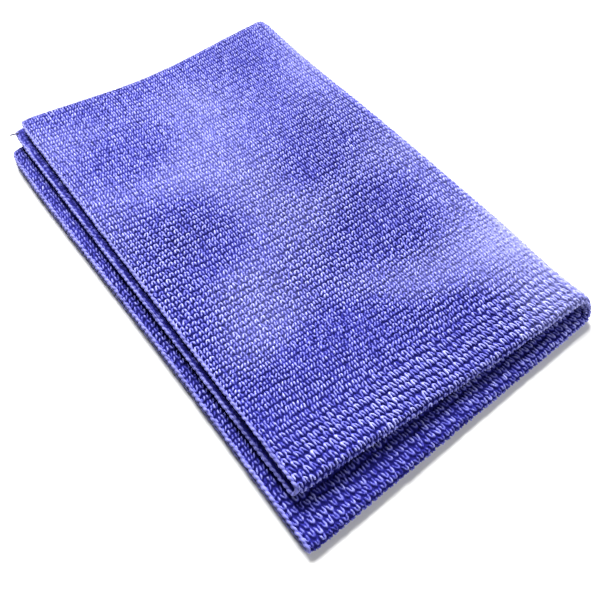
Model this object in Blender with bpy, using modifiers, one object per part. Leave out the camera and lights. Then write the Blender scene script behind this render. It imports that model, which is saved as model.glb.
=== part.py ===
"""Knitted microfibre cloth, folded twice into a book of four plies.

The cloth is first folded across its length, which makes the near fold, and then like a
book, which makes the spine along +X. Each leaf of the book has an outer and an inner ply.
The lower leaf lies on z = 0. The upper leaf turns about the book axis, parallel to Y.
"""

from math import cos, pi, sin

import bmesh
import bpy

# Plies and the space between them
PLY = 0.0036                  # thickness of the knit
PLY_GAP = 0.0006              # between the two plies of one leaf
LEAF_GAP = 0.0024             # between the lower and the upper leaf
JOINT_GAP = 0.0003            # between neighbouring solids of the same cloth

# Plan of the folded cloth
SPINE_X = 0.092               # where the plies start to bend around the spine
LOWER_LEFT = (-0.0958, -0.1010)     # open side of the lower leaf: at its near end, at its far end
UPPER_LEFT = (-0.0862, -0.0880)     # open side of the top ply
UPPER_INNER_LEFT = (-0.0885, -0.0935)
LOWER_NEAR = (-0.1546, -0.1375)     # centre line of the near fold: at the open side, at the spine
UPPER_NEAR = (-0.1311, -0.1311)
SPINE_FAR = 0.1585            # far edge of every ply at the spine
LOWER_FAR = (0.1485, SPINE_FAR)     # far edge: at the open side, at the spine
UPPER_FAR = (0.1585, SPINE_FAR)
LOWER_SAG = 0.003             # how far the middle of the far edge draws in
UPPER_SAG = 0.010
CORNER_RADIUS = 0.004

# Edge thread
HEM_RADIUS = 0.0015
TAIL_RADIUS = 0.0004
TAIL_LENGTH = 0.0045

SPINE_END_GAP = 0.00045       # each half of the spine stops this far short of its middle
FOLD_STEPS = 12
SPINE_STEPS = 10
FAR_STEPS = 14
CORNER_STEPS = 4

KNIT_BLUE = (0.156, 0.131, 0.680, 1.0)
KNIT_PALE = (0.420, 0.400, 0.850, 1.0)
THREAD_DARK = (0.050, 0.045, 0.120, 1.0)

# Worked out from the above
LEAF = 2 * PLY + PLY_GAP
FOLD_RADIUS = (PLY + PLY_GAP) / 2           # middle of the knit around the near fold
MID_Z = LEAF + LEAF_GAP / 2
LEAF_RADIUS = MID_Z - LEAF / 2              # middle of a leaf around the spine
OUTER_RADIUS = LEAF_RADIUS + FOLD_RADIUS
INNER_RADIUS = LEAF_RADIUS - FOLD_RADIUS
SPINE_EDGE_X = SPINE_X + OUTER_RADIUS + PLY / 2
AXIS_X = SPINE_EDGE_X + JOINT_GAP / 2
HEM_TRIM = 2 * HEM_RADIUS + JOINT_GAP       # from the outside of a hem to the ply inside it


def blend(ends, t):
    """Value a fraction t of the way between two ends."""
    return ends[0] + (ends[1] - ends[0]) * t


def clear_scene():
    """Remove every object of the open file."""
    for obj in list(bpy.data.objects):
        bpy.data.objects.remove(obj, do_unlink=True)


def make_material(name, colour):
    """Principled material of a matt yarn."""
    material = bpy.data.materials.new(name)
    material.use_nodes = True
    shader = material.node_tree.nodes["Principled BSDF"]
    shader.inputs["Base Color"].default_value = colour
    shader.inputs["Roughness"].default_value = 0.9
    shader.inputs["Metallic"].default_value = 0.0
    material.diffuse_color = colour
    return material


def finish_object(obj, collection, colour, parent):
    """Link an object, colour it, and hang an upper-leaf piece on the book axis."""
    collection.objects.link(obj)
    obj.data.materials.append(make_material(obj.name + "_yarn", colour))
    if parent is not None:
        obj.parent = parent
        obj.matrix_parent_inverse = parent.matrix_world.inverted()
    return obj


def make_plate(name, outline, z_middle):
    """Flat ply from a closed outline of (x, y) points."""
    curve = bpy.data.curves.new(name, "CURVE")
    curve.dimensions = "2D"
    curve.fill_mode = "BOTH"
    curve.extrude = PLY / 2
    spline = curve.splines.new("POLY")
    spline.points.add(len(outline) - 1)
    for point, (x, y) in zip(spline.points, outline):
        point.co = (x, y, 0.0, 1.0)
    spline.use_cyclic_u = True
    obj = bpy.data.objects.new(name, curve)
    obj.location.z = z_middle
    return obj


def make_sheet(name, surface, u_range, v_range, u_steps, v_steps):
    """Curved ply: a grid laid on surface(u, v), then given the knit's thickness."""
    mesh = bpy.data.meshes.new(name)
    grid = bmesh.new()
    bmesh.ops.create_grid(grid, x_segments=u_steps, y_segments=v_steps, size=0.5)
    for vert in grid.verts:
        u = blend(u_range, vert.co.x + 0.5)
        v = blend(v_range, vert.co.y + 0.5)
        vert.co = surface(u, v)
    grid.to_mesh(mesh)
    grid.free()
    mesh.shade_smooth()
    obj = bpy.data.objects.new(name, mesh)
    shell = obj.modifiers.new("thickness", "SOLIDIFY")
    shell.thickness = PLY
    shell.offset = 0.0
    shell.use_even_offset = True
    return obj


def make_tube(name, path, radius):
    """Thread or hem: a round tube along a list of points."""
    curve = bpy.data.curves.new(name, "CURVE")
    curve.dimensions = "3D"
    curve.bevel_depth = radius
    curve.bevel_resolution = 2
    curve.use_fill_caps = True
    spline = curve.splines.new("POLY")
    spline.points.add(len(path) - 1)
    for point, place in zip(spline.points, path):
        point.co = (*place, 1.0)
    return bpy.data.objects.new(name, curve)


class Leaf:
    """One leaf of the book: its plan, its heights and its half of the spine."""

    def __init__(self, prefix, side, left, inner_left, near, far, sag):
        self.prefix = prefix
        self.side = side
        self.left = left
        self.inner_left = inner_left
        self.near = near
        self.far = far
        self.sag = sag

    def ply_z(self, radius):
        """Height of the middle of the ply that bends around the spine at this radius."""
        return MID_Z + self.side * radius

    def arc(self, radius):
        """Angles around the spine where this leaf's half of a ply starts and ends."""
        start = JOINT_GAP / 2 / radius
        end = pi / 2 - SPINE_END_GAP / radius
        return (start, end) if self.side < 0 else (pi - start, pi - end)

    def near_y(self, x):
        """Centre line of the near fold at x."""
        return blend(self.near, (x - self.left[0]) / (SPINE_X - self.left[0]))

    def far_y(self, x):
        """Far edge at x, drawn in towards the middle of the leaf."""
        t = (x - self.left[1]) / (SPINE_X - self.left[1])
        return blend(self.far, t) - self.sag * sin(pi * t) ** 2


def spine_near_y(angle):
    """Centre line of the near fold around the spine, from the lower leaf to the upper."""
    return blend((LOWER_NEAR[1], UPPER_NEAR[1]), (1 - cos(angle)) / 2)


def spine_point(angle, radius, y):
    """Point around the spine: angle 0 is the lower leaf and pi the upper."""
    return (SPINE_X + radius * sin(angle), y, MID_Z - radius * cos(angle))


def ply_outline(leaf, left):
    """Outline of a flat ply inside its hems: straight sides, rounded corner, drawn-in far edge."""
    x_near = left[0] + HEM_TRIM
    x_far = left[1] + HEM_TRIM
    x_spine = SPINE_X - JOINT_GAP / 2
    outline = [(x_near, leaf.near_y(x_near) + JOINT_GAP / 2),
               (x_spine, leaf.near_y(x_spine) + JOINT_GAP / 2)]
    x_first = x_far + CORNER_RADIUS
    for step in range(FAR_STEPS + 1):
        x = blend((x_spine, x_first), step / FAR_STEPS)
        outline.append((x, leaf.far_y(x) - HEM_TRIM))
    y_centre = leaf.far_y(x_first) - HEM_TRIM - CORNER_RADIUS
    for step in range(1, CORNER_STEPS + 1):
        turn = pi / 2 * step / CORNER_STEPS
        outline.append((x_first - CORNER_RADIUS * sin(turn), y_centre + CORNER_RADIUS * cos(turn)))
    return outline


def corner_start(leaf, left):
    """Where the hem leaves the open side to turn the far corner: (x, y) of its middle."""
    x = left[1] + HEM_RADIUS
    return x, leaf.far_y(x + CORNER_RADIUS) - HEM_RADIUS - CORNER_RADIUS


def side_hem_path(leaf, left, z):
    """Middle of the hem along the open side of one ply."""
    x_far, y_corner = corner_start(leaf, left)
    y_near = leaf.near_y(left[0]) + JOINT_GAP
    return [(left[0] + HEM_RADIUS, y_near, z), (x_far, y_corner - HEM_RADIUS - JOINT_GAP, z)]


def end_hem_path(leaf, left, radius):
    """Middle of the hem round the far corner, along the far edge and around the spine."""
    x_far, y_corner = corner_start(leaf, left)
    x_first = x_far + CORNER_RADIUS
    z = leaf.ply_z(radius)
    path = [(x_far, y_corner - HEM_RADIUS, z)]
    for step in range(CORNER_STEPS + 1):
        turn = pi / 2 * step / CORNER_STEPS
        x = x_first - CORNER_RADIUS * cos(turn)
        path.append((x, y_corner + CORNER_RADIUS * sin(turn), z))
    for step in range(1, FAR_STEPS + 1):
        x = blend((x_first, SPINE_X), step / FAR_STEPS)
        path.append((x, leaf.far_y(x) - HEM_RADIUS, z))
    for step in range(1, SPINE_STEPS + 1):
        angle = blend(leaf.arc(radius), step / SPINE_STEPS)
        path.append(spine_point(angle, radius, SPINE_FAR - HEM_RADIUS))
    return path


def near_fold_surface(leaf):
    """Near fold of a leaf: x along the fold, turn from its outer ply (0) to its inner (pi)."""
    def surface(x, turn):
        y = leaf.near_y(x) - JOINT_GAP / 2 - FOLD_RADIUS * sin(turn)
        return (x, y, leaf.ply_z(LEAF_RADIUS + FOLD_RADIUS * cos(turn)))
    return surface


def near_corner_surface(angle, turn):
    """The near fold where it bends around the spine."""
    radius = LEAF_RADIUS + FOLD_RADIUS * cos(turn)
    return spine_point(angle, radius, spine_near_y(angle) - JOINT_GAP / 2 - FOLD_RADIUS * sin(turn))


def spine_surface(radius):
    """Ply bent around the spine: angle, then t from the near fold (0) to the far edge (1)."""
    def surface(angle, t):
        ends = (spine_near_y(angle) + JOINT_GAP, SPINE_FAR - HEM_TRIM)
        return spine_point(angle, radius, blend(ends, t))
    return surface


def build_plies(leaf, outer_name, inner_name):
    """Outer and inner flat ply of a leaf."""
    return [make_plate(outer_name, ply_outline(leaf, leaf.left), leaf.ply_z(OUTER_RADIUS)),
            make_plate(inner_name, ply_outline(leaf, leaf.inner_left), leaf.ply_z(INNER_RADIUS))]


def build_folds(leaf):
    """Near fold of a leaf, its corner at the spine, and the leaf's half of the spine."""
    start = leaf.left[0] + HEM_RADIUS
    fold = make_sheet(leaf.prefix + "_near_fold", near_fold_surface(leaf),
                      (start, SPINE_X - JOINT_GAP / 2), (0.0, pi), 1, FOLD_STEPS)
    corner = make_sheet(leaf.prefix + "_near_corner", near_corner_surface,
                        leaf.arc(INNER_RADIUS), (0.0, pi), SPINE_STEPS, FOLD_STEPS)
    outer = make_sheet(leaf.prefix + "_spine_outer", spine_surface(OUTER_RADIUS),
                       leaf.arc(OUTER_RADIUS), (0.0, 1.0), SPINE_STEPS, 1)
    inner = make_sheet(leaf.prefix + "_spine_inner", spine_surface(INNER_RADIUS),
                       leaf.arc(INNER_RADIUS), (0.0, 1.0), SPINE_STEPS, 1)
    return [fold, corner, outer, inner]


def build_hems(leaf, outer_name, inner_name):
    """Overlocked edges of both plies of a leaf, along the open side and the far edge."""
    hems = []
    for name, left, radius in ((outer_name, leaf.left, OUTER_RADIUS),
                               (inner_name, leaf.inner_left, INNER_RADIUS)):
        side_path = side_hem_path(leaf, left, leaf.ply_z(radius))
        hems.append(make_tube(name + "_side_hem", side_path, HEM_RADIUS))
        hems.append(make_tube(name + "_end_hem", end_hem_path(leaf, left, radius), HEM_RADIUS))
    return hems


def build_thread_tail():
    """Loose end of the edge thread at the far corner of the upper inner ply."""
    x = UPPER_INNER_LEFT[1] - JOINT_GAP
    y = UPPER_FAR[0] - 2 * CORNER_RADIUS
    z = MID_Z + INNER_RADIUS
    steps = 4
    path = []
    for step in range(steps + 1):
        t = step / steps
        path.append((x - TAIL_LENGTH * t * 0.75 - TAIL_RADIUS, y + TAIL_LENGTH * t * t * 0.5,
                     z + 0.0008 * sin(pi * t)))
    return make_tube("upper_thread_tail", path, TAIL_RADIUS)


def main():
    clear_scene()
    collection = bpy.data.collections.new("folded_polishing_cloth")
    bpy.context.scene.collection.children.link(collection)

    axis = bpy.data.objects.new("book_fold_axis", None)
    axis.location = (AXIS_X, 0.0, MID_Z)
    collection.objects.link(axis)
    bpy.context.view_layer.update()

    lower = Leaf("lower", -1, LOWER_LEFT, LOWER_LEFT, LOWER_NEAR, LOWER_FAR, LOWER_SAG)
    upper = Leaf("upper", 1, UPPER_LEFT, UPPER_INNER_LEFT, UPPER_NEAR, UPPER_FAR, UPPER_SAG)

    for leaf, outer_name, inner_name, parent in ((lower, "bottom_ply", "lower_inner_ply", None),
                                                 (upper, "top_ply", "upper_inner_ply", axis)):
        for obj in build_plies(leaf, outer_name, inner_name) + build_folds(leaf):
            finish_object(obj, collection, KNIT_BLUE, parent)
        for obj in build_hems(leaf, outer_name, inner_name):
            finish_object(obj, collection, KNIT_PALE, parent)
    finish_object(build_thread_tail(), collection, THREAD_DARK, axis)


main()
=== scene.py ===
"""Knitted microfibre polishing cloth, folded into a book of four plies, on a pale table.

The cloth is addressed by its stitches. A wale is a column of stitches and a row runs across
them. Wales are counted from the open side of the upper leaf, around the spine, to the open
side of the lower leaf. Rows are counted from the far edge of the outer plies, around the
near fold, to the far edge of the inner plies. Face A, with the loops, is outside at the near
fold, and face B is the plainer back.
"""

import bpy
import numpy as np
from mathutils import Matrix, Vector


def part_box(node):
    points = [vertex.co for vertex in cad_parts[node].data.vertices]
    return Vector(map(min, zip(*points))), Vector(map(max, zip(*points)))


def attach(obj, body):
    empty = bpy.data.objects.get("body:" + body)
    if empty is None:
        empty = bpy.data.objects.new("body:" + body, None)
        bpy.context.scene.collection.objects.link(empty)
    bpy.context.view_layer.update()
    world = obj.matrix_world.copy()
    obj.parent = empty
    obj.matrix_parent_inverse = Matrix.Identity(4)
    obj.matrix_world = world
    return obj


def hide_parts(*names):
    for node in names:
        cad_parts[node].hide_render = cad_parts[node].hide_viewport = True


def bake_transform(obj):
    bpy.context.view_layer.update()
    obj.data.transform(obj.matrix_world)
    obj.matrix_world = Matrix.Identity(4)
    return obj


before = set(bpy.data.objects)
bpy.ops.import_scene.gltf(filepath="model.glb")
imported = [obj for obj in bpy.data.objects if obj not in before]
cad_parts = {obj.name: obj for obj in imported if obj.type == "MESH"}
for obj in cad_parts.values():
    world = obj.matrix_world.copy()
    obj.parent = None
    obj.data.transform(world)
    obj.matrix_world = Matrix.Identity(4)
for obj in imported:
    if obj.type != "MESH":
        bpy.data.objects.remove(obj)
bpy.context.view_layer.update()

# Thickness and bends, from the frame
JOINT_GAP = 0.0003                                  # between neighbouring solids
PLY_LOW, PLY_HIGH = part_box("bottom_ply")
TOP_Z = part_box("top_ply")[1].z
PLY = PLY_HIGH.z - PLY_LOW.z
PLY_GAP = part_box("lower_inner_ply")[0].z - PLY_HIGH.z
SPINE_X = PLY_HIGH.x + JOINT_GAP / 2
MID_Z = TOP_Z / 2
FOLD_RADIUS = (PLY + PLY_GAP) / 2                   # middle of the knit around the near fold
LEAF_RADIUS = MID_Z - PLY - PLY_GAP / 2             # middle of a leaf around the spine
SPINE_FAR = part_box("bottom_ply_end_hem")[1].y

# Stitches
UPPER_WALES = 52
SPINE_WALES = 8
LOWER_WALES = 56
WALES = UPPER_WALES + SPINE_WALES + LOWER_WALES
PLY_ROWS = 87
FOLD_ROWS = 3
ROWS = 2 * PLY_ROWS + FOLD_ROWS
WALE_PITCH = 0.0034
ROW_PITCH = 0.0033
RELIEF = 0.0015                                     # from the crown of a stitch to a crevice
BACK_RELIEF = 0.0008

# Edges
HEM_RADIUS = 0.0008
HEM_RING_STEP = 0.00036
HEM_SIDES = 12
HEM_ROUNDING = 5                                    # rings over which a corner is rounded
BORDER_STEPS_PER_ROW = 4
FAR_EDGE_STEPS = 160
SPINE_EDGE_STEPS = 80
HEM_CORE = 0.78                                     # between the wraps, as a share of its radius
WRAP_SWELL = 0.42                                   # how far the thread swells at each wrap
SLACK_SWELL = 0.20
FINE_SLACK = (0.0012, 1.2)                          # length and angle of an uneven place
BROAD_SLACK = (0.005, 3.0)
BROAD_SLACK_START = 9.0
EDGE_TAPER = 0.0030                                 # width over which the knit thins to its edge
EDGE_THICKNESS = 0.45
LOWER_FAR_SETBACK = 0.010                           # open-side corner, short of the spine's end
LOWER_SAG = 0.003                                   # how far the far edge draws in
UPPER_SAG = 0.0075
SAG_SKEW = 0.88                                     # it draws in most a little nearer the open side
SAG_ROUNDNESS = 1.25
LOWER_NEAR_PROUD = (0.0010, 0.0022)                 # lofty near folds stand proud of the CAD,
UPPER_NEAR_PROUD = (0.0022, 0.0022)                 # at the open side and at the spine
FAR_PROUD = 0.0014
LOWER_BOW = 0.0008                                  # how far the open side strays from straight
BOW_SKEW = 0.7

# Bends and gaps. Rows are counted from the near fold, and wales from the upper open side. A pair
# of them is a span, from and to, or the middle and the reach of a hill.
FOLD_STRETCH = 0.24                                 # the rows by the near fold are longer,
STRETCHED_SPAN = (3.0, 9.0)
BEHIND_TIGHTNESS = 0.17                             # and the ones behind them shorter
TIGHT_HILL = (17.0, 8.0)
OPEN_SIDE_PARTING = (0.0003, -0.0008)               # rise of the top ply and of the ply below it
OPEN_SIDE_WALES = 6.0
CORNER_PARTING = (0.0010, -0.0007)                  # and how much more near the near corner
CORNER_WALES = 3.5
CORNER_HILL = (9.0, 6.0)
UPPER_FOLD_DROOP = 0.0006                           # the upper near fold rests on the lower leaf
DROOP_ROWS = 4.5
DROOP_BEGINS = (4.0, 24.0)
DROOP_ENDS = (40.0, UPPER_WALES)
SPINE_GATHER = 0.75                                 # how the inner wales crowd around the spine
SPINE_FULLNESS = 0.8
HOLLOW_WALES, HOLLOW_ROWS = 2.0, 4.0                # reach of the hollow in the near corner
HOLLOW_RADIUS = 0.0004                              # the leaf bends wider there,
HOLLOW_TIGHTNESS = 0.24                             # its near fold tighter,
HOLLOW_THINNING = 0.18                              # and the knit is thinner
CUT_CORNER_ROUND = 0.0016                           # how far the cut corners are drawn in
CUT_CORNER_STITCHES = 1.6

# Drape, in metres. A hill is its middle and its reach in y
WAVES = ((0.0007, 38.0, 21.0, 0.6),                 # height, radians per metre of x and of y, start
         (0.0005, 17.0, -47.0, 2.1),
         (0.0004, 61.0, 9.0, 4.0))
WAVE_DROP = 0.0007
WAVE_STRENGTH = 0.8
SPINE_LEAN = 0.0042                                 # the spine narrows towards its far end
LEAN_SPAN = (-0.02, 0.135)
SPINE_WAIST = 0.0013
WAIST_HILL = (-0.107, 0.026)
CORNER_FLARE = 0.0012
FLARE_SPAN = (0.120, 0.140)                         # towards the near end

# One stitch, in shares of its width, length and height. Apart from spans, a pair is for plain and
# for bold loops, or for blurred and for clear rows where its name says so.
LOOP_HALF_LENGTH = 0.42
HEAD_RISE = 0.16                                    # the legs bend up to the head
END_SQUARENESS = (2.6, 4.0)
ROW_GROOVE_FLOOR_BY_CLARITY = (0.42, 0.05)
HEAD_SPAN = (0.05, 0.30)                            # over which the slit between the legs closes
CLOSURE_BY_CLARITY = (0.35, 0.85)
APART_OPENING = 0.65                                # how much less it closes behind the fold
SLIT_DEPTH = 0.92
SLIT_WIDTH = (0.10, 0.08)
BLURRED_WALE_GROOVE = 0.98
CLEAR_WALE_GROOVE = (0.74, 0.96)
WALE_GROOVE_WIDTH = (0.14, 0.12)
LEG_PLACE = 0.25                                    # middle of a leg, from the middle of the wale
LEG_FALL = (0.30, 0.08)                             # how far a leg's sides fall off
LEG_LEAN = (0.22, -0.30)
LEAN_VARIES = 0.18
SLIP_VARIES = 0.11
HEIGHT_VARIES = 0.11
LEGS_VARY = 0.14
ACROSS_DRIFT = ((0.18, 5.0, 6.0), (0.11, 1.3, 1.1)) # (amount, wales and rows of a patch)
ALONG_DRIFT = ((0.20, 7.0, 5.0), (0.13, 1.1, 1.3))

# Grain of the pile. Its counts are grains to a stitch, across and along
GRAIN_BY_CLARITY = (0.14, 0.24)
GRAIN_COUNT = (3.3, 3.1)
GRAIN_LIMIT = 1.1
LOFT_BASE, LOFT_LOOPS, LOFT_FUZZ = 0.26, 0.46, 0.44 # what the brushed-up pile is made of
LOFT_COUNT = (3.5, 3.3)
FIBRE_GRAIN = 0.15
FIBRE_COUNT = (5.1, 4.7)
RELIEF_LIMIT = 1.08
BACK_LOOPS, BACK_FELT = 0.92, 0.22
BACK_COUNT = (2.1, 1.9)

# Regions of the surface, in the same spans and hills. A patch is so many wales and rows
BOLD_SPAN = (4.5, 9.0)
APART_HILL = (16.0, 8.0)
SPINE_WALES_REACH = 13.0
FAR_BLUR_SPAN = (44.0, 68.0)
FAR_BLUR_SPREAD = 9.0
FAR_BLUR_PATCH = (9.0, 14.0)
MIXED_BLUR = 0.55
MIXED_NOISE_SPAN = (-0.35, 0.45)
MIXED_PATCH = (15.0, 8.0)
FUZZ_BASE, FUZZ_LIMIT = 0.05, 0.7
FUZZ_BEHIND_FOLD = 0.22
FUZZ_BY_SPINE = 0.40
FUZZ_BY_SPINE_HILL = (16.0, 12.0)
FUZZ_PATCHES = 0.25
FUZZ_PATCH = (8.0, 7.0)

# Change of shade, from dark below 0 to pale above it, in the same regions
# Besides patches of tone, these paint light on the spine side and shade by the near fold and on the
# plies inside
TONE_BASE = 0.08
TONE_BROAD = 0.24
TONE_SLANT_PATCH = (13.0, 19.0)
TONE_BROAD_PATCH = (30.0, 16.0)
TONE_PATCHES = 0.22
TONE_PATCH = (12.0, 9.0)
# Painted light: the spine side and its near fold are made paler, where the light from behind on the
# right falls
PAINTED_LIGHT_AT_SPINE = 0.24
PAINTED_LIGHT_BY_SPINE_FOLD = 0.90
BY_SPINE_FOLD_HILL = (12.0, 13.0)
TONE_FAR_SHADE = -0.20
FAR_SHADE_HILL = (42.0, 9.0)                        # wales
FAR_SHADE_SPAN = (55.0, 75.0)                       # rows
TONE_BEHIND = -0.20
BEHIND_SPAN = (24.0, 36.0)                          # wales
BEHIND_HILL = (31.0, 7.0)                           # rows
# Painted shade: darker towards the near fold, where it turns away from the light
PAINTED_SHADE_BY_NEAR_FOLD = -0.48
NEAR_SPAN = (2.0, 26.0)
SPINE_SPARED = 0.9                                  # the painted shade spares the spine at the near fold, which stays pale
TONE_FAR = 0.06
FAR_SPAN = (58.0, 82.0)
PAINTED_SHADE_INSIDE = -0.75                                 # painted shade on the plies that face down or lie inside
HIDDEN_ROWS, HIDDEN_WALES = 6.0, 8.0

# Thread tail
TAIL_RADIUS = 0.0005
TAIL_CORE, TAIL_SWELL = 0.85, 0.2                   # shares of its radius
TAIL_STEPS = 40
TAIL_RING_STEP = 0.00012
TAIL_TWIST_PITCH = 0.0008
TAIL_INSET = 0.0015
TAIL_RISE = 0.0016
TAIL_CURL = (0.0, -0.0007, 0.0006)

# Shading. A swing is how far a value moves as its noise, or the tone, goes from 0 to 1
CLUMP_SWING = 0.34                                  # of the level that picks the colour, from painted shade in a crevice to painted highlight on a crown,
TONE_SWING = 0.13                                   # and again of that level
SPECKLE_BASE, SPECKLE_SWING = 0.65, 0.7             # of the brightness
ROUGHNESS_BASE, ROUGHNESS_SWING = 0.7, 0.2
CLUMP_HEIGHT = 1.6                                  # of a clump, in fibres
THREAD_SWING = 0.25                                 # of the level that picks the thread's shade
THREAD_LEVELS = (0.58, 1.05)                        # of its painted shade in the gaps between wraps and of its own colour on the wraps

# Colours, as linear red, green and blue with alpha
CREVICE_SHADE_TO_CROWN_HIGHLIGHT = ((0.15, (0.001, 0.001, 0.080, 1.0)),  # painted shade in the crevices, the knit's own violet-blue between, painted highlights on the crowns
               (0.40, (0.018, 0.018, 0.245, 1.0)),
               (0.64, (0.160, 0.165, 0.570, 1.0)),
               (0.98, (0.445, 0.460, 0.870, 1.0)))
# Tone colours: the pale one also carries painted light, the deep one painted shade
PALE_TONE_AND_PAINTED_LIGHT, PALE_SHARE = (0.315, 0.325, 0.620, 1.0), 0.52
DEEP_TONE_AND_PAINTED_SHADE, DEEP_SHARE = (0.012, 0.011, 0.190, 1.0), 0.25
FELT_SHADE, FELT_SHARE = (0.040, 0.040, 0.400, 1.0), 0.20
SHEEN_TINT = (0.70, 0.68, 1.0, 1.0)
# Thread colours: painted shade for the gaps between the wraps of the edge thread and the strands of the
# tail, then the thread's own colour
EDGE_PAINTED_GAP_SHADE_AND_THREAD = ((0.010, 0.010, 0.180, 1.0), (0.190, 0.195, 0.620, 1.0))
TAIL_PAINTED_GAP_SHADE_AND_THREAD = ((0.010, 0.008, 0.040, 1.0), (0.060, 0.055, 0.150, 1.0))
THREAD_SHEEN_TINT = (0.75, 0.73, 1.0, 1.0)
TABLE_SHADE = (0.78, 0.78, 0.78, 1.0)
WHITE = (1.0, 1.0, 1.0, 1.0)

# Table, camera and light
TABLE_SIZE = 6.0
CAMERA_AZIMUTH = np.radians(-35.31)
CAMERA_ELEVATION = np.radians(53.51)
CAMERA_TARGET = Vector((-0.02575, -0.05278, 0.018))
CAMERA_DISTANCE = 0.41473
CAMERA_LENS = 48.57
KEY_FROM = Vector((0.35, 0.95, 1.05))
KEY_STRENGTH = 9.5
KEY_SPREAD = np.radians(34.0)
FILL_FROM = Vector((0.55, -0.80, 0.62))
FILL_STRENGTH = 2.1
FILL_SPREAD = np.radians(60.0)
LIGHT_TINT = (1.0, 1.0, 0.98)
ROOM_STRENGTH = 0.08


def lerp(start, end, t):
    """Value a fraction t of the way from start to end."""
    return start + (end - start) * t


def ease(low, high, value):
    """Smooth step from 0 at low to 1 at high."""
    t = np.clip((value - low) / (high - low), 0.0, 1.0)
    return t * t * (3.0 - 2.0 * t)


def hill(value, middle, reach):
    """1 at the middle, and 0 a few reaches away on either side."""
    return np.exp(-((value - middle) / reach) ** 2)


class Noise:
    """Smooth, repeatable noise over a plane, from -1 to 1, and the value of each whole cell."""

    def __init__(self, seed, size=128):
        self.size = size
        self.table = np.random.default_rng(seed).uniform(-1.0, 1.0, (size, size))

    def cell(self, column, row):
        return self.table[column % self.size, row % self.size]

    def __call__(self, x, y):
        x, y = np.broadcast_arrays(x, y)
        column, row = np.floor(x).astype(int), np.floor(y).astype(int)
        across, along = ease(0.0, 1.0, x - column), ease(0.0, 1.0, y - row)
        low = lerp(self.cell(column, row), self.cell(column + 1, row), across)
        high = lerp(self.cell(column, row + 1), self.cell(column + 1, row + 1), across)
        return lerp(low, high, along)

    def over_patches(self, wale, row, patch, start=0.0):
        """The noise with patches of so many wales and rows."""
        return self(wale / patch[0] + start, row / patch[1])

    def over_grains(self, wale, row, count, start=0.0):
        """The noise with so many grains to a stitch, across and along."""
        return self(wale * count[0] + start, row * count[1])


class LeafPlan:
    """Plan of one leaf, read from its CAD nodes: open side, near fold line and far edge."""

    def __init__(self, prefix, outer, inner, sag, near_proud, far_setback=0.0, bow=0.0):
        self.outer_left = self.side_ends(outer)
        self.inner_left = self.side_ends(inner)
        fold_low, fold_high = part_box(prefix + "_near_fold")
        open_end = fold_low.y + JOINT_GAP / 2 + FOLD_RADIUS + PLY / 2
        spine_end = fold_high.y + JOINT_GAP / 2
        self.near = (open_end - near_proud[0], spine_end - near_proud[1])
        self.far_setback = far_setback
        self.sag = sag
        self.bow = bow

    @staticmethod
    def side_ends(ply):
        """x of the open side of a ply at its far end and at its near end."""
        low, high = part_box(ply + "_side_hem")
        return low.x, high.x - (high.z - low.z)

    def x(self, share, along, inner):
        """x a share of the way from the open side to the spine."""
        left = lerp(lerp(*self.outer_left, along), lerp(*self.inner_left, along), inner)
        left = left - self.bow * np.sin(2 * np.pi * along ** BOW_SKEW)
        return lerp(left + HEM_RADIUS, SPINE_X, share)

    def near_y(self, share):
        return lerp(*self.near, share)

    def far_y(self, share):
        sagging = self.sag * np.sin(np.pi * share ** SAG_SKEW) ** SAG_ROUNDNESS
        drawn_in = self.far_setback * (1.0 - share) + sagging
        return SPINE_FAR + FAR_PROUD - HEM_RADIUS - drawn_in


UPPER = LeafPlan("upper", "top_ply", "upper_inner_ply", UPPER_SAG, UPPER_NEAR_PROUD)
LOWER = LeafPlan("lower", "bottom_ply", "lower_inner_ply", LOWER_SAG, LOWER_NEAR_PROUD,
                 LOWER_FAR_SETBACK, LOWER_BOW)


# The shape of the folded cloth

def row_places():
    """How far along its ply each row lies, as shares of the rows and of the length."""
    steps_per_row = 60
    row = np.linspace(0.0, PLY_ROWS, steps_per_row * PLY_ROWS + 1)
    behind = PLY_ROWS - row
    length = 1.0 + FOLD_STRETCH * (1.0 - ease(*STRETCHED_SPAN, behind))
    length -= BEHIND_TIGHTNESS * hill(behind, *TIGHT_HILL)
    place = np.concatenate([[0.0], np.cumsum((length[1:] + length[:-1]) / 2)])
    return row / PLY_ROWS, place / place[-1]


ROW_SHARES, LENGTH_SHARES = row_places()


def drape(points):
    """Soft waves of the stack, which grow with height, and the lean of the spine's far end."""
    x, y, z = points[..., 0], points[..., 1], points[..., 2]
    broad, slanted, fine = [height * np.sin(per_x * x + per_y * y + start)
                            for height, per_x, per_y, start in WAVES]
    waves = broad + slanted + (fine - WAVE_DROP)
    moved = points.copy()
    moved[..., 2] += WAVE_STRENGTH * waves * z / TOP_Z
    inward = SPINE_LEAN * ease(*LEAN_SPAN, y) + SPINE_WAIST * hill(y, *WAIST_HILL)
    inward -= CORNER_FLARE * ease(*FLARE_SPAN, -y)
    moved[..., 0] -= inward * ease(0.0, SPINE_X, x)
    return moved


def cut_wales(wale):
    """Wales between here and the nearer open side."""
    return np.clip(np.minimum(wale, WALES - wale), 0.0, None)


def cut_rows(row):
    """Rows between here and the nearer far edge."""
    return np.clip(np.minimum(row, ROWS - row), 0.0, None)


def from_near_fold(row):
    """Rows between here and the middle of the near fold."""
    return np.abs(row - PLY_ROWS - FOLD_ROWS / 2)


def from_spine(wale):
    """Wales from the middle of the spine to here, towards the lower leaf."""
    return wale - UPPER_WALES - SPINE_WALES / 2


def corner_hollow(wale, row):
    """The near corner at the spine, where the folds leave a small hollow between the leaves."""
    across, along = from_spine(wale) / HOLLOW_WALES, from_near_fold(row) / HOLLOW_ROWS
    return np.exp(-across ** 2 - along ** 2)


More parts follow.
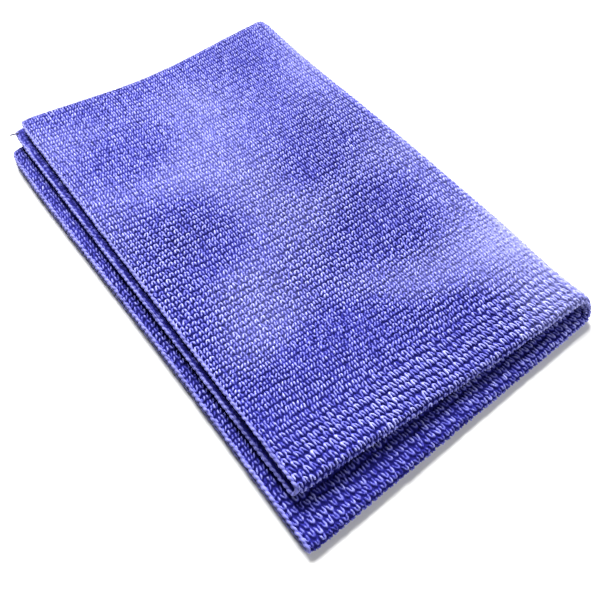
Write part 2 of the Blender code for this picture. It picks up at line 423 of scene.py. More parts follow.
def open_side_parting(wale, row, inner):
    """Rise of the upper leaf's plies at its open side, most of all a little behind the corner."""
    middle_row, reach = CORNER_HILL
    corner = np.exp(-wale / CORNER_WALES - ((from_near_fold(row) - middle_row) / reach) ** 2)
    side = np.exp(-wale / OPEN_SIDE_WALES)
    return side * lerp(*OPEN_SIDE_PARTING, inner) + corner * lerp(*CORNER_PARTING, inner)


def fold_droop(wale, row):
    """How far the upper leaf's near fold sinks between its two corners."""
    between = ease(*DROOP_BEGINS, wale) * (1.0 - ease(*DROOP_ENDS, wale))
    return UPPER_FOLD_DROOP * between * hill(from_near_fold(row), 0.0, DROOP_ROWS)


def flat_book(wale, row):
    """Middle of the knit before it drapes, and the direction that face A looks in."""
    turn = np.pi * np.clip((row - PLY_ROWS) / FOLD_ROWS, 0.0, 1.0)
    inner = (1.0 - np.cos(turn)) / 2
    along = np.clip(np.where(row < PLY_ROWS, row, ROWS - row) / PLY_ROWS, 0.0, 1.0)
    along = np.interp(along, ROW_SHARES, LENGTH_SHARES)

    around = np.clip((wale - UPPER_WALES) / SPINE_WALES, 0.0, 1.0)
    gathered = SPINE_GATHER * inner * np.sin(2 * np.pi * around) / (2 * np.pi)
    angle = np.pi * (1.0 - around - gathered)
    upper_share = np.clip(wale / UPPER_WALES, 0.0, 1.0)
    lower_share = np.clip((WALES - wale) / LOWER_WALES, 0.0, 1.0)
    on_upper = wale < UPPER_WALES + SPINE_WALES / 2
    x = np.where(on_upper, UPPER.x(upper_share, along, inner), LOWER.x(lower_share, along, inner))
    far = np.where(on_upper, UPPER.far_y(upper_share), LOWER.far_y(lower_share))
    to_upper = (1.0 - np.cos(angle)) / 2
    near = lerp(LOWER.near_y(lower_share), UPPER.near_y(upper_share), to_upper)

    hollow = corner_hollow(wale, row)
    fold = (1.0 - HOLLOW_TIGHTNESS * hollow) * FOLD_RADIUS * np.cos(turn)
    radius = LEAF_RADIUS + HOLLOW_RADIUS * hollow + fold
    stitches_from_cuts = cut_wales(wale) + cut_rows(row)
    drawn_in = CUT_CORNER_ROUND * np.exp(-stitches_from_cuts / CUT_CORNER_STITCHES)
    lift = open_side_parting(wale, row, inner) - to_upper * fold_droop(wale, row)
    middle = np.stack([x + drawn_in + radius * np.maximum(np.sin(angle), 0.0) ** SPINE_FULLNESS,
                       lerp(far, near, along) - drawn_in - FOLD_RADIUS * np.sin(turn),
                       MID_Z - radius * np.cos(angle) + lift], axis=-1)
    outward = np.stack([np.sin(angle) * np.cos(turn), -np.sin(turn),
                        -np.cos(angle) * np.cos(turn)], axis=-1)
    return middle, outward


def book_surface(wale, row):
    """Middle of the draped knit at a wale and a row, and its unit normal on face A."""
    wale, row = np.broadcast_arrays(np.asarray(wale, float), np.asarray(row, float))
    step = 0.02
    middle, outward = flat_book(wale, row)
    across = drape(flat_book(wale + step, row)[0]) - drape(flat_book(wale - step, row)[0])
    along = drape(flat_book(wale, row + step)[0]) - drape(flat_book(wale, row - step)[0])
    normal = np.cross(across, along)
    normal /= np.linalg.norm(normal, axis=-1, keepdims=True) + 1e-12
    facing = np.sign(np.sum(normal * outward, axis=-1, keepdims=True))
    return drape(middle), normal * np.where(facing == 0.0, 1.0, facing)


def edge_distance(wale, row):
    """Distance in metres to the nearest cut edge of the cloth."""
    return np.minimum(cut_wales(wale) * WALE_PITCH, cut_rows(row) * ROW_PITCH)


def thickness_share(wale, row):
    """The knit thins towards its cut edges, which a thread draws together, and in the corner."""
    edge = lerp(EDGE_THICKNESS, 1.0, ease(0.0, EDGE_TAPER, edge_distance(wale, row)))
    return edge * (1.0 - HOLLOW_THINNING * corner_hollow(wale, row))


# The stitches

warp_across, warp_along = Noise(11), Noise(12)
stitch_lean, stitch_height, stitch_slip, stitch_spread = Noise(21), Noise(22), Noise(23), Noise(24)
patches, broad_patches, fuzz, fine_fuzz = Noise(31), Noise(32), Noise(33), Noise(34)


def boldness(row):
    """How large and clear the loops are: 1 at the near fold, 0 nine rows behind it."""
    return 1.0 - ease(*BOLD_SPAN, from_near_fold(row))


def behind_fold(row):
    """The shorter rows behind the near fold, where the legs of the stitches stand apart."""
    return hill(from_near_fold(row), *APART_HILL)


def near_spine(wale):
    """1 on the spine, 0 a few centimetres from it."""
    return hill(from_spine(wale), 0.0, SPINE_WALES_REACH)


def row_clarity(wale, row):
    """How far the rows, and not the wales, shape the surface: least towards the far edge."""
    spread = FAR_BLUR_SPREAD * patches.over_patches(wale, row, FAR_BLUR_PATCH, start=5.0)
    mixed = ease(*MIXED_NOISE_SPAN, patches.over_patches(wale, row, MIXED_PATCH, start=3.0))
    mixed = mixed * (1.0 - boldness(row))
    return (1.0 - ease(*FAR_BLUR_SPAN, from_near_fold(row) + spread)) * (1.0 - MIXED_BLUR * mixed)


def fuzziness(wale, row):
    """Where the pile is brushed up over the stitches."""
    by_spine = near_spine(wale) * hill(from_near_fold(row), *FUZZ_BY_SPINE_HILL)
    fuzzy = FUZZ_BEHIND_FOLD * behind_fold(row) + FUZZ_BY_SPINE * by_spine
    fuzzy = fuzzy + FUZZ_PATCHES * patches.over_patches(wale, row, FUZZ_PATCH) + FUZZ_BASE
    return np.clip(fuzzy, 0.0, FUZZ_LIMIT)


def loop_height(across, along, bold, clarity, apart, uneven):
    """One stitch: two plump legs that meet at its head, with a slit between them."""
    head = HEAD_RISE * np.cos(2 * np.pi * across)
    from_middle = np.abs(along - head) / LOOP_HALF_LENGTH
    band = np.sqrt(np.clip(1.0 - from_middle ** lerp(*END_SQUARENESS, bold), 0.0, 1.0))
    band = lerp(lerp(*ROW_GROOVE_FLOOR_BY_CLARITY, clarity), 1.0, band)
    closed = ease(*HEAD_SPAN, along) * lerp(*CLOSURE_BY_CLARITY, clarity) * (1.0 - APART_OPENING * apart)
    between_legs = SLIT_DEPTH * hill(across, 0.0, lerp(*SLIT_WIDTH, bold)) * (1.0 - closed)
    wale_groove = lerp(BLURRED_WALE_GROOVE, lerp(*CLEAR_WALE_GROOVE, bold), clarity)
    beside_legs = wale_groove * hill(np.abs(across), 0.5, lerp(*WALE_GROOVE_WIDTH, bold))
    roundness = 1.0 - lerp(*LEG_FALL, bold) * ((np.abs(across) - LEG_PLACE) / LEG_PLACE) ** 2
    legs = 1.0 + uneven * np.clip(across / LEG_PLACE, -1.0, 1.0)
    return band * (1.0 - between_legs) * (1.0 - beside_legs) * roundness * legs


def drifted(place, noise, wale, row, drifts):
    """Place of a stitch after it strays by each drift of (amount, wales, rows)."""
    for amount, wales, rows in drifts:
        place = place + amount * noise.over_patches(wale, row, (wales, rows))
    return place


def loops_relief(wale, row, clarity):
    """Height of the loops alone: at each point, the highest of the three nearest in its wale."""
    w = drifted(wale, warp_across, wale, row, ACROSS_DRIFT)
    r = drifted(row, warp_along, wale, row, ALONG_DRIFT)
    column = np.floor(w).astype(int)
    bold, apart = boldness(row), behind_fold(row)
    loops = np.zeros_like(w)
    for neighbour in (-1, 0, 1):
        line = np.floor(r).astype(int) + neighbour
        along = line + 0.5 + SLIP_VARIES * stitch_slip.cell(column, line) - r
        lean = lerp(*LEG_LEAN, bold) + LEAN_VARIES * stitch_lean.cell(column, line)
        across = w - column - 0.5 - lean * along
        tall = (1.0 - HEIGHT_VARIES) + HEIGHT_VARIES * stitch_height.cell(column, line)
        uneven = LEGS_VARY * stitch_spread.cell(column, line)
        loops = np.maximum(loops, tall * loop_height(across, along, bold, clarity, apart, uneven))
    return loops


def knit_relief(wale, row):
    """Height of face A, from 0 in a crevice to about 1 on the crown of a stitch."""
    wale, row = np.broadcast_arrays(np.asarray(wale, float), np.asarray(row, float))
    clarity = row_clarity(wale, row)
    grain = lerp(*GRAIN_BY_CLARITY, clarity) * fuzz.over_grains(wale, row, GRAIN_COUNT)
    loops = np.clip(loops_relief(wale, row, clarity) * (1.0 + grain), 0.0, GRAIN_LIMIT)
    loft = LOFT_FUZZ * fuzz.over_grains(wale, row, LOFT_COUNT, start=7.0)
    height = lerp(loops, LOFT_BASE + LOFT_LOOPS * loops + loft, fuzziness(wale, row))
    fibres = FIBRE_GRAIN * fine_fuzz.over_grains(wale, row, FIBRE_COUNT)
    return np.clip(height + fibres, 0.0, RELIEF_LIMIT)


def back_relief(wale, row):
    """Height of face B: the backs of the same loops, smaller and more felted."""
    loops = knit_relief(wale + 0.5, row + 0.5)
    felt = BACK_FELT * fuzz.over_grains(wale, row, BACK_COUNT, start=40.0)
    return np.clip(BACK_LOOPS * loops + felt, 0.0, 1.0)


def patch_tone_and_wave_shade(wale, row):
    """Slanting patches of tone: brushed patches, and painted shade that stands in for the cloth's soft
    waves.
    """
    slant_wales, slant_rows = TONE_SLANT_PATCH
    broad_wales, broad_rows = TONE_BROAD_PATCH
    slanted = wale / slant_wales + row / slant_rows
    # brushed patches together with painted shade of the soft waves
    tone = TONE_BROAD * broad_patches(slanted, row / broad_rows - wale / broad_wales)
    return tone + TONE_PATCHES * patches.over_patches(wale, row, TONE_PATCH, start=9.0)


def fold_tone_and_painted_light(wale, row):
    """Shade of the folds: painted light that makes the spine side pale, painted shade where the near
    fold turns away and on the plies that lie inside or face down, and broad darker and paler bands.
    """
    rows_away = from_near_fold(row)
    at_spine = near_spine(wale)
    by_spine_fold = at_spine * hill(rows_away, *BY_SPINE_FOLD_HILL)
    far_shade = hill(wale, *FAR_SHADE_HILL) * ease(*FAR_SHADE_SPAN, rows_away)
    behind = ease(*BEHIND_SPAN, wale) * hill(rows_away, *BEHIND_HILL)
    # painted shade towards the near fold, where it turns away from the light
    near = (1.0 - ease(*NEAR_SPAN, rows_away)) * (1.0 - SPINE_SPARED * at_spine)
    # painted shade on the plies that face down or lie inside
    hidden = np.maximum(ease(0.0, HIDDEN_ROWS, row - PLY_ROWS - FOLD_ROWS),
                        ease(0.0, HIDDEN_WALES, wale - UPPER_WALES))
    # painted light: paler along the spine and by its near fold
    pale = PAINTED_LIGHT_AT_SPINE * at_spine + PAINTED_LIGHT_BY_SPINE_FOLD * by_spine_fold
    dark = TONE_FAR_SHADE * far_shade + TONE_BEHIND * behind + PAINTED_SHADE_BY_NEAR_FOLD * near
    return pale + dark + TONE_FAR * ease(*FAR_SPAN, rows_away) + PAINTED_SHADE_INSIDE * hidden


def tone_and_painted_light(wale, row):
    """Broad change of shade, from -1 dark to 1 pale: random patches, painted light and painted shade."""
    return patch_tone_and_wave_shade(wale, row) + fold_tone_and_painted_light(wale, row) + TONE_BASE


# Meshes

def build_mesh(name, points, face_groups):
    """Mesh object from points and arrays of faces, each array with faces of one size."""
    mesh = bpy.data.meshes.new(name)
    corners = np.concatenate([faces.ravel() for faces in face_groups]).astype(np.int32)
    sizes = np.concatenate([np.full(len(faces), faces.shape[1]) for faces in face_groups])
    starts = np.concatenate([[0], np.cumsum(sizes)[:-1]]).astype(np.int32)
    mesh.vertices.add(len(points))
    mesh.vertices.foreach_set("co", points.astype(np.float32).ravel())
    mesh.loops.add(len(corners))
    mesh.loops.foreach_set("vertex_index", corners)
    mesh.polygons.add(len(sizes))
    mesh.polygons.foreach_set("loop_start", starts)
    mesh.update(calc_edges=True)
    mesh.shade_smooth()
    obj = bpy.data.objects.new(name, mesh)
    bpy.context.scene.collection.objects.link(obj)
    return obj


def add_attribute(obj, name, values):
    """Per-vertex numbers or vectors for the shaders."""
    kind = "FLOAT" if values.ndim == 1 else "FLOAT_VECTOR"
    attribute = obj.data.attributes.new(name, kind, "POINT")
    attribute.data.foreach_set("value" if kind == "FLOAT" else "vector",
                               values.astype(np.float32).ravel())


def grid_ids(rows, columns, first):
    return first + np.arange(rows * columns).reshape(rows, columns)


def grid_quads(ids):
    return np.stack([ids[:-1, :-1], ids[:-1, 1:], ids[1:, 1:], ids[1:, :-1]], axis=-1).reshape(-1, 4)


def border_runs(ids):
    """The four sides of a grid, each in the direction that its faces run."""
    return [ids[0, :], ids[:, -1], ids[-1, ::-1], ids[::-1, 0]]


def rim_faces(front_run, back_run):
    """Faces that join a side of the fine front grid to the same side of the coarse back grid."""
    ratio = (len(front_run) - 1) // (len(back_run) - 1)
    rim = []
    for step in range(len(back_run) - 1):
        fine = front_run[step * ratio:(step + 1) * ratio + 1]
        rim.append(np.concatenate([fine[::-1], back_run[step:step + 2]]))
    return np.array(rim)


def face_distance(wale, row, relief, depth):
    """Distance of a face from the middle of the knit, where its crevices have a depth."""
    return PLY / 2 * thickness_share(wale, row) - depth * (1.0 - relief)


def cloth_grid(wales, rows, density):
    """Wale and row numbers of a grid with so many points for each stitch."""
    wale = np.linspace(wales[0], wales[1], (wales[1] - wales[0]) * density + 1)
    row = np.linspace(rows[0], rows[1], (rows[1] - rows[0]) * density + 1)
    return np.meshgrid(wale, row)


def make_cloth(name, wales, rows, fine, coarse):
    """One closed piece of the knit between two wales and two rows: face A fine, face B coarse."""
    wale, row = cloth_grid(wales, rows, fine)
    middle, normal = book_surface(wale, row)
    relief = knit_relief(wale, row)
    front = face_distance(wale, row, relief, RELIEF)
    wale_back, row_back = cloth_grid(wales, rows, coarse)
    middle_back, normal_back = book_surface(wale_back, row_back)
    relief_back = back_relief(wale_back, row_back)
    back = face_distance(wale_back, row_back, relief_back, BACK_RELIEF)

    front_points = middle + normal * front[..., None]
    back_points = middle_back - normal_back * back[..., None]
    front_ids = grid_ids(*wale.shape, 0)
    back_ids = grid_ids(*wale_back.shape, wale.size)
    groups = [grid_quads(front_ids), grid_quads(back_ids)[:, ::-1]]
    sides = zip(border_runs(front_ids), border_runs(back_ids))
    groups += [rim_faces(front_run, back_run) for front_run, back_run in sides]
    across = middle[0, 1] - middle[0, 0]
    along = middle[1, 0] - middle[0, 0]
    if np.dot(np.cross(across, along), normal[0, 0]) < 0.0:
        groups = [faces[:, ::-1] for faces in groups]
    points = np.concatenate([front_points.reshape(-1, 3), back_points.reshape(-1, 3)])
    points[:, 2] = np.maximum(points[:, 2], 0.0)
    obj = build_mesh(name, points, groups)

    all_wales = np.concatenate([wale.ravel(), wale_back.ravel()])
    all_rows = np.concatenate([row.ravel(), row_back.ravel()])
    face = np.concatenate([np.zeros(wale.size), np.ones(wale_back.size)])
    # relief, from which the material paints shade into the crevices and highlights onto the crowns
    add_attribute(obj, "relief_for_painted_shade", np.concatenate([relief.ravel(), relief_back.ravel()]))
    # the tone carries random patches, painted light and painted shade
    add_attribute(obj, "tone", tone_and_painted_light(all_wales, all_rows))
    add_attribute(obj, "back_face", face)
    cloth = np.stack([all_wales * WALE_PITCH, all_rows * ROW_PITCH, face], axis=-1)
    add_attribute(obj, "cloth", cloth)
    return obj


def resample(path, step):
    """The same path with points an even step apart, and how far along it each one is."""
    lengths = np.concatenate([[0.0], np.cumsum(np.linalg.norm(np.diff(path, axis=0), axis=1))])
    count = int(np.ceil(lengths[-1] / step)) + 1
    at = np.linspace(0.0, lengths[-1], count)
    return np.stack([np.interp(at, lengths, path[:, k]) for k in range(3)], axis=-1), at


def round_corners(path, reach):
    """Average each point with its neighbours, except at the two ends."""
    kernel = np.hanning(2 * reach + 3)[1:-1]
    kernel /= kernel.sum()
    padded = np.concatenate([2 * path[:1] - path[reach:0:-1], path,
                             2 * path[-1:] - path[-2:-reach - 2:-1]])
    return np.stack([np.convolve(padded[:, k], kernel, "valid") for k in range(3)], axis=-1)


def path_frames(path):
    """Two unit vectors across the path at each point, carried along it without twisting."""
    tangent = np.gradient(path, axis=0)
    tangent /= np.linalg.norm(tangent, axis=1, keepdims=True)
    side = np.zeros_like(path)
    current = np.cross(tangent[0], (0.0, 0.0, 1.0))
    for index, direction in enumerate(tangent):
        current = current - direction * np.dot(current, direction)
        current = current / np.linalg.norm(current)
        side[index] = current
    return side, np.cross(tangent, side)


def make_tube(name, path, at, radius):
    """Closed tube along a path. radius is a function of the way along and the angle around."""
    side, lift = path_frames(path)
    angle = np.linspace(0.0, 2 * np.pi, HEM_SIDES, endpoint=False)
    reach = radius(at[:, None], angle[None, :])
    cosine, sine = np.cos(angle)[None, :, None], np.sin(angle)[None, :, None]
    ring = side[:, None] * cosine + lift[:, None] * sine
    points = (path[:, None] + ring * reach[..., None]).reshape(-1, 3)
    ids = grid_ids(len(path), HEM_SIDES, 0)
    closed = np.concatenate([ids, ids[:, :1]], axis=1)
    obj = build_mesh(name, points, [grid_quads(closed)[:, ::-1], ids[:1], ids[-1:, ::-1]])
    add_attribute(obj, "cloth", np.stack([np.repeat(at, HEM_SIDES),
                                          np.tile(angle * HEM_RADIUS, len(path)),
                                          np.zeros(points.shape[0])], axis=-1))
    # thread relief, from which the material paints shade into the gaps between wraps
    add_attribute(obj, "relief_for_painted_shade", (reach / reach.max()).ravel())
    return obj


edge_slack = Noise(41)


def hem_radius(at, angle):
    """Overlocked edge: the thread swells at each row, where it wraps around the edge stitch."""
    wraps = np.abs(np.sin(np.pi * at / ROW_PITCH + angle / 2))
    fine_length, fine_angle = FINE_SLACK
    broad_length, broad_angle = BROAD_SLACK
    slack = edge_slack(at / fine_length, angle / fine_angle)
    slack = slack + edge_slack(at / broad_length, BROAD_SLACK_START + angle / broad_angle)
    return HEM_RADIUS * (HEM_CORE + WRAP_SWELL * wraps + SLACK_SWELL * slack)


def tail_radius(at, angle):
    """Loose thread: two strands twisted together."""
    twist = np.cos(2 * np.pi * at / TAIL_TWIST_PITCH + 2 * angle)
    return TAIL_RADIUS * (TAIL_CORE + TAIL_SWELL * twist)


def make_edge_thread(name, border):
    """Edge thread along a list of (wale, row) points on the border of the cloth."""
    border = np.array(border, float)
    path, _ = book_surface(border[:, 0], border[:, 1])
    path, _ = resample(path, HEM_RING_STEP)
    path = round_corners(path, HEM_ROUNDING)
    path, at = resample(path, HEM_RING_STEP)
    return make_tube(name, path, at, hem_radius)


def run(start, end, steps):
    """Evenly spaced numbers from start to end."""
    return np.linspace(start, end, steps + 1)


def leaf_border(open_side, spine_side):
    """Border of a leaf: out along the outer far edge, around the open side, in along the inner."""
    rows = run(0, ROWS, BORDER_STEPS_PER_ROW * ROWS)
    edge = run(spine_side, open_side, FAR_EDGE_STEPS)
    return ([(w, 0.0) for w in edge] + [(open_side, r) for r in rows[1:]]
            + [(w, float(ROWS)) for w in edge[::-1][1:]])


# Materials

def make_material(name):
    material = bpy.data.materials.new(name)
    material.use_nodes = True
    nodes = material.node_tree.nodes
    return material, nodes, material.node_tree.links, nodes["Principled BSDF"]


def attribute_node(nodes, name):
    node = nodes.new("ShaderNodeAttribute")
    node.attribute_name = name
    return node


def math_node(nodes, links, operation, *values):
    """Result of an operation on numbers or on the outputs of other nodes."""
    node = nodes.new("ShaderNodeMath")
    node.operation = operation
    for socket, value in zip(node.inputs, values):
        if isinstance(value, (int, float)):
            socket.default_value = value
        else:
            links.new(value, socket)
    return node.outputs[0]


def mix_colours(nodes, links, share, first, second):
    node = nodes.new("ShaderNodeMix")
    node.data_type = "RGBA"
    factor, colour_a, colour_b = node.inputs[0], node.inputs[6], node.inputs[7]
    for socket, value in ((factor, share), (colour_a, first), (colour_b, second)):
        if isinstance(value, (int, float, tuple)):
            socket.default_value = value
        else:
            links.new(value, socket)
    return node.outputs[2]


def colour_ramp(nodes, links, factor, stops):
    node = nodes.new("ShaderNodeValToRGB")
    ramp = node.color_ramp
    while len(ramp.elements) < len(stops):
        ramp.elements.new(0.5)
    for element, (position, colour) in zip(ramp.elements, stops):
        element.position = position
        element.color = colour
    links.new(factor, node.inputs[0])
    return node.outputs[0]


def noise_node(nodes, links, vector, stretch, scale, detail):
    """Noise on the cloth's own coordinates, stretched by a factor on each axis."""
    mapping = nodes.new("ShaderNodeMapping")
    mapping.inputs["Scale"].default_value = stretch
    links.new(vector, mapping.inputs["Vector"])
    noise = nodes.new("ShaderNodeTexNoise")
    noise.inputs["Scale"].default_value = scale
    noise.inputs["Detail"].default_value = detail
    links.new(mapping.outputs[0], noise.inputs["Vector"])
    return noise.outputs["Fac"]


def add_bump(nodes, links, shader, height, strength, distance):
    bump = nodes.new("ShaderNodeBump")
    bump.inputs["Strength"].default_value = strength
    bump.inputs["Distance"].default_value = distance
    links.new(height, bump.inputs["Height"])
    links.new(bump.outputs[0], shader.inputs["Normal"])


def toned_colour(nodes, links, raised, tone, back):
    """The colour made paler by the tone's painted light and pale patches, deeper by its painted shade
    and dark patches, and felted on the back face.
    """
    pale = mix_colours(nodes, links, PALE_SHARE, raised, PALE_TONE_AND_PAINTED_LIGHT)
    deep = mix_colours(nodes, links, DEEP_SHARE, raised, DEEP_TONE_AND_PAINTED_SHADE)
    lighter = math_node(nodes, links, "MAXIMUM", tone, 0.0)
    darker = math_node(nodes, links, "MAXIMUM", math_node(nodes, links, "MULTIPLY", tone, -1.0), 0.0)
    shade = mix_colours(nodes, links, lighter, raised, pale)
    shade = mix_colours(nodes, links, darker, shade, deep)
    felted = mix_colours(nodes, links, FELT_SHARE, shade, FELT_SHADE)
    return mix_colours(nodes, links, back, shade, felted)


def knit_material():
    """Microfibre knit: violet-blue, with painted shade in its deep navy crevices, painted highlights on
    its pale crowns, and a soft sheen.
    """
    material, nodes, links, shader = make_material("knit_pile")
    cloth = attribute_node(nodes, "cloth").outputs["Vector"]
    relief_for_painted_shade = attribute_node(nodes, "relief_for_painted_shade").outputs["Fac"]
    tone = attribute_node(nodes, "tone").outputs["Fac"]
    back = attribute_node(nodes, "back_face").outputs["Fac"]

    fibres = noise_node(nodes, links, cloth, stretch=(1.0, 0.45, 1.0), scale=2600.0, detail=3.0)
    clumps = noise_node(nodes, links, cloth, stretch=(1.0, 0.7, 1.0), scale=520.0, detail=2.0)
    level = math_node(nodes, links, "MULTIPLY_ADD", clumps, CLUMP_SWING, -CLUMP_SWING / 2)
    level = math_node(nodes, links, "ADD", level, relief_for_painted_shade)
    # the tone, with its painted light and shade, shifts the level
    toned = math_node(nodes, links, "MULTIPLY", tone, TONE_SWING)
    level = math_node(nodes, links, "ADD", level, toned)
    # painted shade in the crevices and painted highlights on the crowns, picked by the relief
    raised = colour_ramp(nodes, links, level, CREVICE_SHADE_TO_CROWN_HIGHLIGHT)
    shade = toned_colour(nodes, links, raised, tone, back)
    speckle = math_node(nodes, links, "MULTIPLY_ADD", fibres, SPECKLE_SWING, SPECKLE_BASE)
    tinted = nodes.new("ShaderNodeVectorMath")
    tinted.operation = "SCALE"
    links.new(shade, tinted.inputs[0])
    links.new(speckle, tinted.inputs["Scale"])
    links.new(tinted.outputs[0], shader.inputs["Base Color"])

    height = math_node(nodes, links, "MULTIPLY_ADD", clumps, CLUMP_HEIGHT, fibres)
    add_bump(nodes, links, shader, height, strength=0.8, distance=0.00022)
    rough = math_node(nodes, links, "MULTIPLY_ADD", fibres, ROUGHNESS_SWING, ROUGHNESS_BASE)
    links.new(rough, shader.inputs["Roughness"])
    shader.inputs["Specular IOR Level"].default_value = 0.12
    shader.inputs["Sheen Weight"].default_value = 0.10
    shader.inputs["Sheen Roughness"].default_value = 0.45
    shader.inputs["Sheen Tint"].default_value = SHEEN_TINT
    return material


def thread_material(name, deep, light):
    """Overlock thread: smooth twisted filament, with painted shade in the gaps between its wraps."""
    material, nodes, links, shader = make_material(name)
    cloth = attribute_node(nodes, "cloth").outputs["Vector"]
    relief_for_painted_shade = attribute_node(nodes, "relief_for_painted_shade").outputs["Fac"]
    fibres = noise_node(nodes, links, cloth, stretch=(1.0, 0.3, 1.0), scale=3000.0, detail=3.0)
    level = math_node(nodes, links, "MULTIPLY_ADD", fibres, THREAD_SWING, relief_for_painted_shade)
    # painted shade in the gaps between the wraps, the thread's own colour on them
    shade = colour_ramp(nodes, links, level, tuple(zip(THREAD_LEVELS, (deep, light))))
    links.new(shade, shader.inputs["Base Color"])
    add_bump(nodes, links, shader, fibres, strength=0.6, distance=0.00012)
    shader.inputs["Roughness"].default_value = 0.62
    shader.inputs["Sheen Weight"].default_value = 0.2
    shader.inputs["Sheen Tint"].default_value = THREAD_SHEEN_TINT
    return material


# The pieces

def flat_size(wales, rows):
    """Width and length of a piece of the cloth laid flat, along the middle of the knit."""
    points_across, points_along = 200, 400
    wale = np.linspace(*wales, points_across)
    row = np.linspace(*rows, points_along)
    across, _ = book_surface(wale, np.full_like(wale, sum(rows) / 2))
    along, _ = book_surface(np.full_like(row, sum(wales) / 2), row)
    return tuple(float(np.linalg.norm(np.diff(line, axis=0), axis=1).sum())
                 for line in (across, along))


def add_panels(prefix, wales, rows, body, nodes, material, count, fine, backs):
    """Side-by-side pieces of one ply, which meet in the crevice between two wales.

    fine and backs are the points for each stitch on face A, and on face B of the first piece
    and of the others.
    """
    cuts = np.linspace(wales[0], wales[1], count + 1).astype(int)
    for index in range(count):
        span = (int(cuts[index]), int(cuts[index + 1]))
        piece = make_cloth(f"{prefix}_{index + 1}", span, rows, fine, backs[min(index, 1)])
        piece.data.materials.append(material)
        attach(piece, body)
        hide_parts(*nodes)
        flat_size(span, rows)


def add_spine(material):
    """The knit around the spine, both plies and the corner of the near fold."""
    wales, rows = (UPPER_WALES, UPPER_WALES + SPINE_WALES), (0, ROWS)
    piece = make_cloth("spine_cloth", wales, rows, fine=7, coarse=1)
    piece.data.materials.append(material)
    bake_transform(piece)
    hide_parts("lower_near_corner", "lower_spine_outer", "lower_spine_inner",
                "upper_near_corner", "upper_spine_outer", "upper_spine_inner")
    flat_size(wales, rows)


def add_edge_threads(material):
    """Edge thread of each leaf, and its two arcs around the far end of the spine."""
    last_lower = UPPER_WALES + SPINE_WALES
    leaves = (("upper", 0, UPPER_WALES, "top_ply", "upper_inner_ply"),
              ("lower", WALES, last_lower, "bottom_ply", "lower_inner_ply"))
    for leaf, open_side, spine_side, outer, inner in leaves:
        piece = make_edge_thread(leaf + "_edge_thread", leaf_border(open_side, spine_side))
        piece.data.materials.append(material)
        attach(piece, leaf + "_leaf")
        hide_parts(outer + "_side_hem", outer + "_end_hem",
                    inner + "_side_hem", inner + "_end_hem")
    for ply, row in (("outer", 0.0), ("inner", float(ROWS))):
        border = [(w, row) for w in run(UPPER_WALES, last_lower, SPINE_EDGE_STEPS)]
        piece = make_edge_thread(f"spine_edge_thread_{ply}", border)
        piece.data.materials.append(material)
        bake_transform(piece)


def add_thread_tail(material):
    """Loose end of the edge thread, at the far corner of the upper inner ply."""
    low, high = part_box("upper_thread_tail")
    corner, _ = book_surface(0.5, ROWS - 0.5)
    tip = np.array([low.x + TAIL_INSET, high.y, high.z + TAIL_RISE])
    t = run(0.0, 1.0, TAIL_STEPS)[:, None]
    path = lerp(corner, tip, t) + np.array(TAIL_CURL) * np.sin(np.pi * t)
    path, at = resample(path, TAIL_RING_STEP)
    piece = make_tube("upper_thread_tail_visible", path, at, tail_radius)
    piece.data.materials.append(material)
    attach(piece, "upper_leaf")
    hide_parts("upper_thread_tail")


def build_cloth():
    knit = knit_material()
    edge = thread_material("edge_thread", *EDGE_PAINTED_GAP_SHADE_AND_THREAD)
    tail = thread_material("thread_tail", *TAIL_PAINTED_GAP_SHADE_AND_THREAD)
    upper, lower = (0, UPPER_WALES), (UPPER_WALES + SPINE_WALES, WALES)
    outer, inner = (0, PLY_ROWS), (PLY_ROWS + FOLD_ROWS, ROWS)
    outer_fold, inner_fold = (0, PLY_ROWS + FOLD_ROWS), (PLY_ROWS, ROWS)
    add_panels("top_cloth", upper, outer_fold, "upper_leaf", ("top_ply", "upper_near_fold"),
               knit, count=6, fine=10, backs=(2, 2))
    add_panels("upper_inner_cloth", upper, inner, "upper_leaf", ("upper_inner_ply",),
               knit, count=4, fine=6, backs=(6, 2))
    add_panels("lower_inner_cloth", lower, inner_fold, "lower_leaf",
               ("lower_inner_ply", "lower_near_fold"), knit, count=5, fine=8, backs=(2, 2))
    add_panels("bottom_cloth", lower, outer, "lower_leaf", ("bottom_ply",),
               knit, count=3, fine=5, backs=(1, 1))
    add_spine(knit)
    add_edge_threads(edge)
    add_thread_tail(tail)


# Table, light and camera

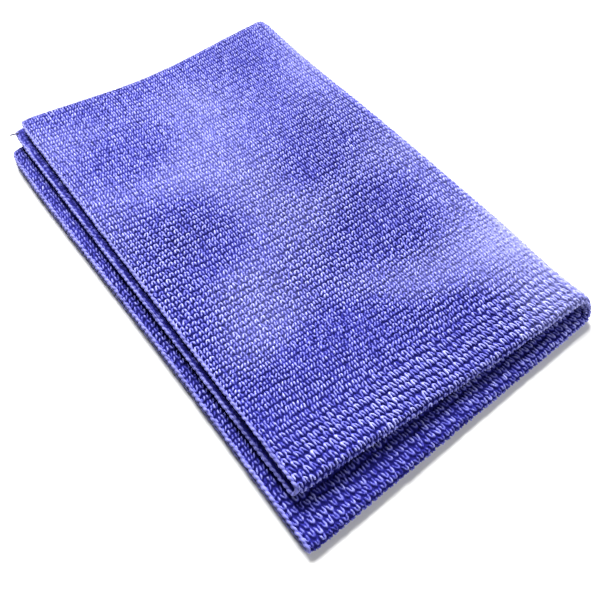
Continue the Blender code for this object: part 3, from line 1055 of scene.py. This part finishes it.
def add_table():
    bpy.ops.mesh.primitive_plane_add(size=TABLE_SIZE, location=(0.0, 0.0, 0.0))
    table = bpy.context.object
    table.name = "table_top"
    material, _, _, shader = make_material("table_white")
    shader.inputs["Base Color"].default_value = TABLE_SHADE
    shader.inputs["Roughness"].default_value = 0.6
    table.data.materials.append(material)


def add_light(name, source, strength, spread):
    """A broad, soft light from the direction of source."""
    light = bpy.data.lights.new(name, "SUN")
    light.energy = strength
    light.angle = spread
    light.color = LIGHT_TINT
    lamp = bpy.data.objects.new(name, light)
    lamp.rotation_euler = (-source).to_track_quat("-Z", "Y").to_euler()
    lamp.location = source
    bpy.context.scene.collection.objects.link(lamp)


def add_room():
    """A white room that shows at full strength but lights the cloth only a little."""
    world = bpy.data.worlds.new("white_room")
    world.use_nodes = True
    nodes, links = world.node_tree.nodes, world.node_tree.links
    sees = nodes.new("ShaderNodeLightPath").outputs["Is Camera Ray"]
    strength = math_node(nodes, links, "MULTIPLY_ADD", sees, 1.0 - ROOM_STRENGTH, ROOM_STRENGTH)
    nodes["Background"].inputs["Color"].default_value = WHITE
    links.new(strength, nodes["Background"].inputs["Strength"])
    bpy.context.scene.world = world


def add_camera():
    flat = np.cos(CAMERA_ELEVATION)
    back = Vector((np.sin(CAMERA_AZIMUTH) * flat, -np.cos(CAMERA_AZIMUTH) * flat,
                   np.sin(CAMERA_ELEVATION)))
    data = bpy.data.cameras.new("camera")
    data.lens = CAMERA_LENS
    data.clip_start = 0.01
    camera = bpy.data.objects.new("camera", data)
    camera.location = CAMERA_TARGET + back * CAMERA_DISTANCE
    camera.rotation_euler = (-back).to_track_quat("-Z", "Y").to_euler()
    bpy.context.scene.collection.objects.link(camera)
    bpy.context.scene.camera = camera


build_cloth()
add_table()
add_light("key_light", KEY_FROM, KEY_STRENGTH, KEY_SPREAD)
add_light("fill_light", FILL_FROM, FILL_STRENGTH, FILL_SPREAD)
add_room()
add_camera()
bpy.context.scene.view_settings.view_transform = "Standard"
